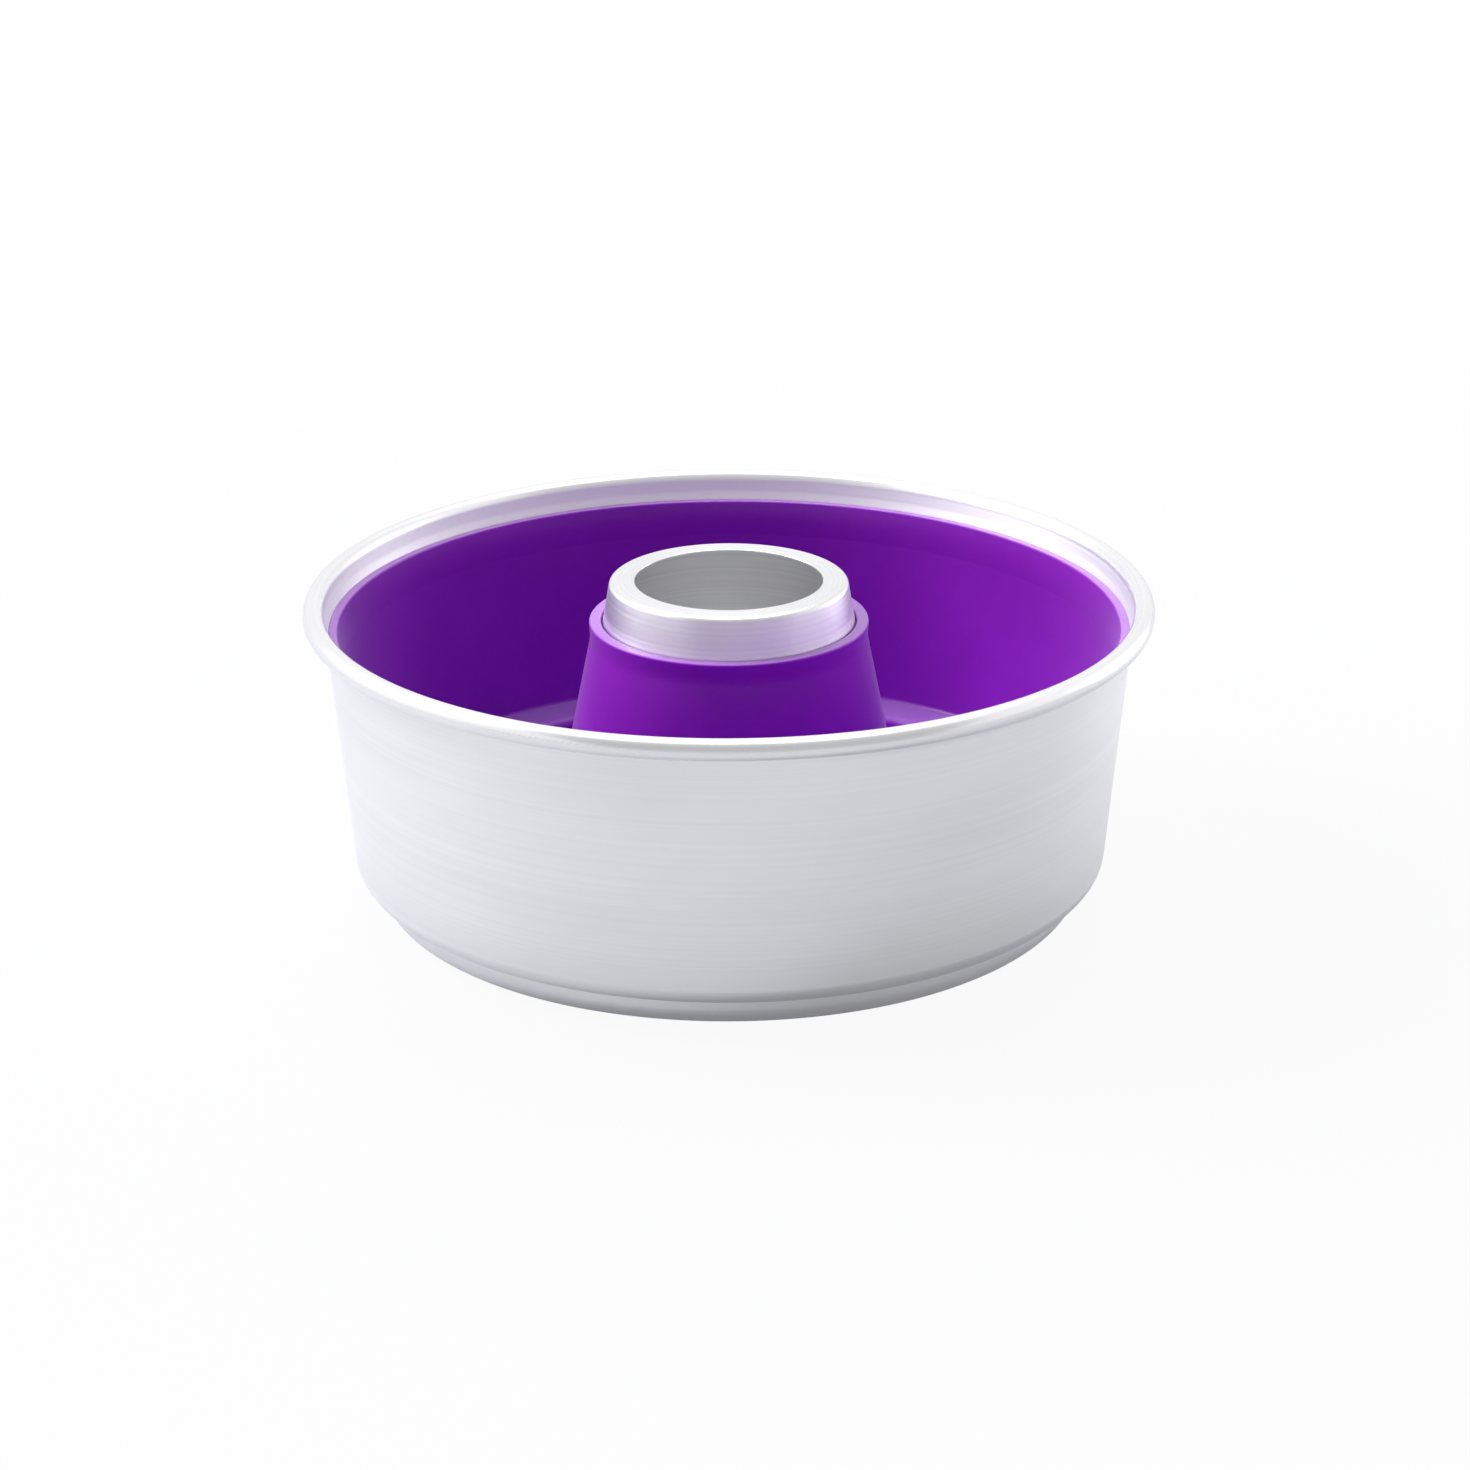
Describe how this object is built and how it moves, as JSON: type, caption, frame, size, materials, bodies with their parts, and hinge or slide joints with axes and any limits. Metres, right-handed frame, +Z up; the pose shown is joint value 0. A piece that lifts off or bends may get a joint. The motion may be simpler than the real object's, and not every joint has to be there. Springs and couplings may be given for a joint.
{
  "type": "ring mould with pan",
  "caption": "Round spun aluminium tube pan with a rolled rim and an open centre tube, holding a lift-out purple silicone ring mould with a stepped trough for puddings and ring cakes.",
  "frame": {"origin": "on the table, at the middle of the flat ring that the pan stands on", "axes": "+Z up, along the axis that the pan, the tube and the mould are turned about; X and Y are alike"},
  "size_m": [0.22, 0.22, 0.0841],
  "materials": {
    "pan_shell": "satin spun sheet with fine turning lines",
    "centre_tube": "turned sheet with clear turning lines",
    "silicone_mould": "smooth satin moulded silicone"
  },
  "bodies": {
    "pan": {"pan_shell": "pan_shell", "centre_tube": "centre_tube"},
    "mould": {"silicone_mould": "silicone_mould"}
  },
  "joints": [
    {"name": "mould_lift", "type": "slide", "parent": "pan", "child": "mould", "axis": [0, 0, 1], "range_m": [0, 0.09]}
  ]
}
